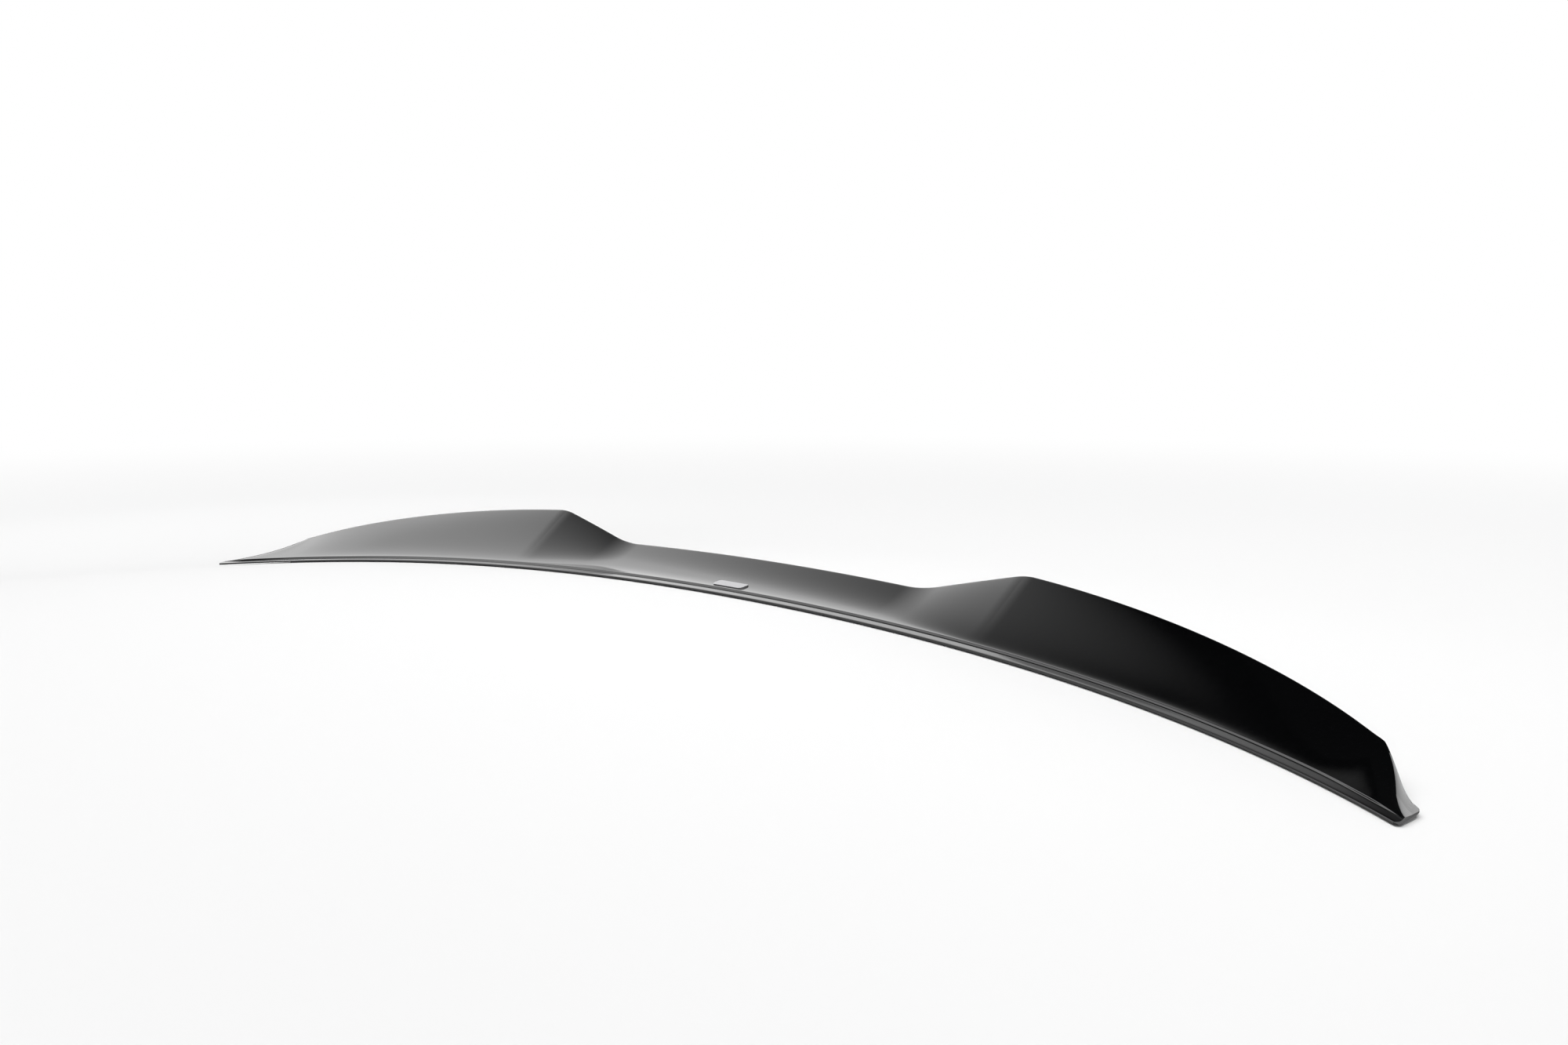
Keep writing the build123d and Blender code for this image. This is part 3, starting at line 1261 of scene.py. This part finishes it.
def dress_solid(node: Node, slot: Slot, finish: Finish) -> bpy.types.Object:
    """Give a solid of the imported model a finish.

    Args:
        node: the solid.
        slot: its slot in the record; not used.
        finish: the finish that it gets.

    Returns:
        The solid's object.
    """
    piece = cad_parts[node.value]
    piece.data.materials.clear()
    piece.data.materials.append(finish.material())
    return piece


@dataclass
class StudioFloor:
    """A plain pale floor with a low swell, shaped as the seat, that the spoiler is bedded on.

    Attributes:
        seat: the surface that the swell follows.
        level: the floor's height away from the swell.
        gap: how far the swell stays below the tape.
        reach: half the floor's size.
        flat_reach: half the sizes of the swell's full part, across and along the car.
        fade: how far the swell takes to run out.
        fine_step: the spacing of the grid lines near the spoiler.
        fine_count: how many such lines there are on each side, with the middle one.
        far_lines: where the grid lines lie beyond them.
        colour: the floor's colour.
        roughness: how matt it is.
        specular: how strongly it mirrors.
        white: how it goes over into plain white, by the distance from the spoiler.
    """

    seat: Seat = field(default_factory=Seat)
    level: float = -0.046
    gap: float = 0.0001
    reach: float = 9.0
    flat_reach: Span = (0.66, 0.16)
    fade: float = 0.55
    fine_step: float = 0.02
    fine_count: int = 71
    far_lines: tuple[float, ...] = (1.6, 2.0, 2.6, 3.5, 5.0, 7.0)
    colour: Colour = (0.86, 0.86, 0.86)
    roughness: float = 0.8
    specular: float = 0.1
    white: Grade = Grade(places=(0.5, 2.2), levels=(0.0, 1.0), smooth=True)

    def lines(self) -> list[float]:
        """Choose the floor's grid lines, close near the spoiler.

        Returns:
            Their places, the same across and along the car.
        """
        near = [k * self.fine_step for k in range(self.fine_count)]
        half = [*near, *self.far_lines, self.reach]
        return [-v for v in reversed(half[1:])] + half

    def height(self, x: float, y: float) -> float:
        """Find the floor's height.

        Args:
            x: the place across the car.
            y: the place along the car.

        Returns:
            The height there.
        """
        across = max(abs(x) - self.flat_reach[0], 0.0)
        back = max(abs(y) - self.flat_reach[1], 0.0)
        swell = 1 - smooth_step(0.0, self.fade, hypot(across, back))
        if swell == 0.0:
            return self.level
        seat = self.seat.height(x, y, -self.gap)
        return self.level + (seat - self.level) * swell

    def build(self) -> bpy.types.Object:
        """Draw the floor.

        Returns:
            The floor, in the scene.
        """
        lines = self.lines()
        count = len(lines)
        vertices = [(x, y, self.height(x, y)) for y in lines for x in lines]
        faces = [
            [r * count + c, r * count + c + 1, (r + 1) * count + c + 1, (r + 1) * count + c]
            for r in range(count - 1)
            for c in range(count - 1)
        ]
        floor = mesh_piece("studio_floor", vertices, faces)
        floor.data.materials.append(self.material())
        return floor

    def material(self) -> bpy.types.Material:
        """Mix a surface that is pale and matt near the spoiler and looks plain white far off.

        Returns:
            Its material.
        """
        material = bpy.data.materials.new("studio_floor")
        material.use_nodes = True
        tree = NodeTree(material.node_tree)
        output = tree.add("ShaderNodeOutputMaterial")
        matt = tree.add("ShaderNodeBsdfPrincipled", roughness=self.roughness)
        matt.inputs["Specular IOR Level"].default_value = self.specular
        matt.inputs["Base Color"].default_value = (*self.colour, 1)
        white = tree.add("ShaderNodeEmission")
        white.inputs["Color"].default_value = WHITE
        both = tree.add("ShaderNodeMixShader")
        place = tree.add("ShaderNodeTexCoord")
        away = tree.add("ShaderNodeVectorMath", operation="LENGTH")
        path = tree.add("ShaderNodeLightPath").outputs
        mirrored = tree.combined(path["Is Glossy Ray"], path["Is Transmission Ray"], Combine.LARGER)
        seen = tree.combined(path["Is Camera Ray"], mirrored, Combine.LARGER)
        far = tree.graded(away.outputs["Value"], self.white)
        tree.join(place.outputs["Object"], away.inputs[0])
        tree.join(tree.combined(far, seen, Combine.PRODUCT), both.inputs["Fac"])
        tree.join(matt.outputs["BSDF"], both.inputs[1])
        tree.join(white.outputs["Emission"], both.inputs[2])
        tree.join(both.outputs["Shader"], output.inputs["Surface"])
        return material


@dataclass
class Surround:
    """The studio around: white for the camera, and in reflections white low down and dim overhead.

    Attributes:
        way: the direction in which it gets darker.
        light: its strength, by how far that way one looks.
    """

    way: Place = (-0.5, 0.0, 1.0)
    light: Grade = Grade(places=(0.15, 0.50), levels=(1.0, 0.012), smooth=True)

    def build(self) -> None:
        """Make it the scene's world."""
        world = bpy.data.worlds.new("studio")
        world.use_nodes = True
        bpy.context.scene.world = world
        tree = NodeTree(world.node_tree)
        output = tree.add("ShaderNodeOutputWorld")
        white = tree.add("ShaderNodeBackground")
        white.inputs["Color"].default_value = WHITE
        studio = tree.add("ShaderNodeBackground")
        studio.inputs["Color"].default_value = WHITE
        both = tree.add("ShaderNodeMixShader")
        path = tree.add("ShaderNodeLightPath")
        place = tree.add("ShaderNodeTexCoord")
        way = tree.add("ShaderNodeVectorMath", operation="DOT_PRODUCT")
        way.inputs[1].default_value = self.way
        tree.join(place.outputs["Generated"], way.inputs[0])
        tree.join(tree.graded(way.outputs["Value"], self.light), studio.inputs["Strength"])
        tree.join(path.outputs["Is Camera Ray"], both.inputs["Fac"])
        tree.join(studio.outputs["Background"], both.inputs[1])
        tree.join(white.outputs["Background"], both.inputs[2])
        tree.join(both.outputs["Shader"], output.inputs["Surface"])


@dataclass(frozen=True)
class Panel:
    """A panel of light that shows only in reflections.

    Attributes:
        name: its name, and its material's.
    """

    name: str

    def glow(self) -> tuple[bpy.types.Material, NodeTree, bpy.types.Node]:
        """Begin a material that only gives light.

        Returns:
            The material, its nodes and the node that gives the light.
        """
        material = bpy.data.materials.new(self.name)
        material.use_nodes = True
        tree = NodeTree(material.node_tree)
        output = tree.add("ShaderNodeOutputMaterial")
        glow = tree.add("ShaderNodeEmission")
        tree.join(glow.outputs["Emission"], output.inputs["Surface"])
        return material, tree, glow

    def hang(self, corners: list[Place], material: bpy.types.Material) -> None:
        """Hang the panel up, as stage.

        Args:
            corners: its corners in the frame, in order.
            material: its material.
        """
        panel = mesh_piece(self.name, corners, [list(range(len(corners)))])
        panel.data.materials.append(material)
        panel.visible_camera = False
        panel.visible_diffuse = False
        panel.visible_shadow = False


@dataclass(frozen=True)
class LevelPanel(Panel):
    """A level panel above the spoiler, whose light is graded across and along the car.

    Attributes:
        across: where it begins and ends across the car.
        along: where it begins and ends along the car.
        height: its height over the origin.
        light: its strength, by the place across the car.
        light_share: the share of that strength, by the place along the car.
    """

    across: Span
    along: Span
    height: float
    light: Grade
    light_share: Grade

    def build(self) -> None:
        """Make the panel and hang it up."""
        (x0, x1), (y0, y1), z = self.across, self.along, self.height
        material, tree, glow = self.glow()
        place = tree.add("ShaderNodeTexCoord")
        parts = tree.add("ShaderNodeSeparateXYZ")
        light = tree.graded(parts.outputs["X"], self.light)
        share = tree.graded(parts.outputs["Y"], self.light_share)
        tree.join(place.outputs["Object"], parts.inputs["Vector"])
        tree.join(tree.combined(light, share, Combine.PRODUCT), glow.inputs["Strength"])
        self.hang([(x0, y0, z), (x1, y0, z), (x1, y1, z), (x0, y1, z)], material)


@dataclass(frozen=True)
class UprightPanel(Panel):
    """An upright panel across the car, of even light.

    Attributes:
        low: its lowest corner, on the left.
        high: its highest corner, on the right.
        strength: its strength.
    """

    low: Place
    high: Place
    strength: float

    def build(self) -> None:
        """Make the panel and hang it up."""
        (x0, y, z0), (x1, _, z1) = self.low, self.high
        material, _, glow = self.glow()
        glow.inputs["Strength"].default_value = self.strength
        self.hang([(x0, y, z0), (x1, y, z0), (x1, y, z1), (x0, y, z1)], material)


# A large panel high up on the left
OVERHEAD_PANEL = LevelPanel(
    name="overhead_panel",
    across=(-48.0, -5.6),
    along=(-16.0, 48.0),
    height=8.0,
    light=Grade(places=(-6.3, -12.4), levels=(0.0, 2.5)),
    light_share=Grade(places=(0.0, 8.0), levels=(1.0, 0.7)),
)
# A panel over the front, for views from above, fading out towards the rear
FRONT_PANEL = LevelPanel(
    name="front_panel",
    across=(-2.0, 6.0),
    along=(-7.0, -0.3),
    height=3.0,
    light=Grade(places=(-2.0, 6.0), levels=(3.0, 3.0)),
    light_share=Grade(places=(-0.3, -7.0), levels=(0.0, 1.0)),
)
# A panel far behind, which the near end wall shows
RIM_PANEL = UprightPanel(
    name="rim_panel",
    low=(-1.6, 2.4, 0.0),
    high=(1.6, 2.4, 1.5),
    strength=1.4,
)


@dataclass
class FillLamp:
    """A wide lamp straight above that lights the floor and stays out of the reflections.

    Attributes:
        height: its height over the origin.
        size: its side.
        power: its power in watts.
    """

    height: float = 2.6
    size: float = 4.0
    power: float = 115.0

    def build(self) -> None:
        """Hang the lamp up."""
        lamp = bpy.data.lights.new("fill", "AREA")
        lamp.size = self.size
        lamp.energy = self.power
        holder = bpy.data.objects.new("fill", lamp)
        holder.location = (0, 0, self.height)
        holder.visible_glossy = False
        holder.visible_camera = False
        bpy.context.scene.collection.objects.link(holder)


@dataclass
class StudioLight:
    """Soft light: a white surround, panels for the reflections and a plain fill lamp.

    Attributes:
        surround: the studio around.
        panels: the panels.
        fill: the lamp.
    """

    surround: Surround = field(default_factory=Surround)
    panels: tuple[LevelPanel | UprightPanel, ...] = (OVERHEAD_PANEL, FRONT_PANEL, RIM_PANEL)
    fill: FillLamp = field(default_factory=FillLamp)

    def build(self) -> None:
        """Set the surround, the panels and the lamp up."""
        self.surround.build()
        for panel in self.panels:
            panel.build()
        self.fill.build()


@dataclass
class PhotoCamera:
    """The camera at the photograph's place: low, in front of the spoiler's right end.

    Attributes:
        place: where it stands.
        right: its own X axis.
        forward: where it looks.
        lens: the focal length in millimetres.
        film: the film's width in millimetres.
    """

    place: Place = (1.20070, -0.97739, 0.23102)
    right: Place = (0.65436, 0.75618, 0.0)
    forward: Place = (-0.75117, 0.65003, -0.11496)
    lens: float = 50.0
    film: float = 36.0

    def build(self) -> None:
        """Make the camera the scene's own."""
        data = bpy.data.cameras.new("photo")
        data.lens = self.lens
        data.sensor_width = self.film
        camera = bpy.data.objects.new("photo", data)
        right = Vector(self.right).normalized()
        back = -Vector(self.forward).normalized()
        up = back.cross(right)
        turn = Matrix((right, up, back)).transposed().to_4x4()
        camera.matrix_world = Matrix.Translation(self.place) @ turn
        bpy.context.scene.collection.objects.link(camera)
        bpy.context.scene.camera = camera


def main() -> None:
    """Build the pieces in order and report each one."""
    logging.basicConfig(level=logging.INFO, format="%(name)s: %(message)s")
    bpy.context.scene.view_settings.view_transform = "Standard"
    shell = SpoilerShell()
    skin = shell.build("spoiler_skin")
    shell.dress(skin, GLOSS_BLACK)
    log.info("%s has %d faces", skin.name, len(skin.data.polygons))
    for strip in TapeSet().dress(FOAM_GREY):
        log.info("%s is dressed", strip.name)
    plate = BadgePlate().dress(SATIN_METAL)
    log.info("%s is dressed", plate.name)
    floor = StudioFloor(seat=shell.seat).build()
    log.info("%s is stage", floor.name)
    StudioLight().build()
    PhotoCamera().build()


if __name__ == "__main__":
    main()
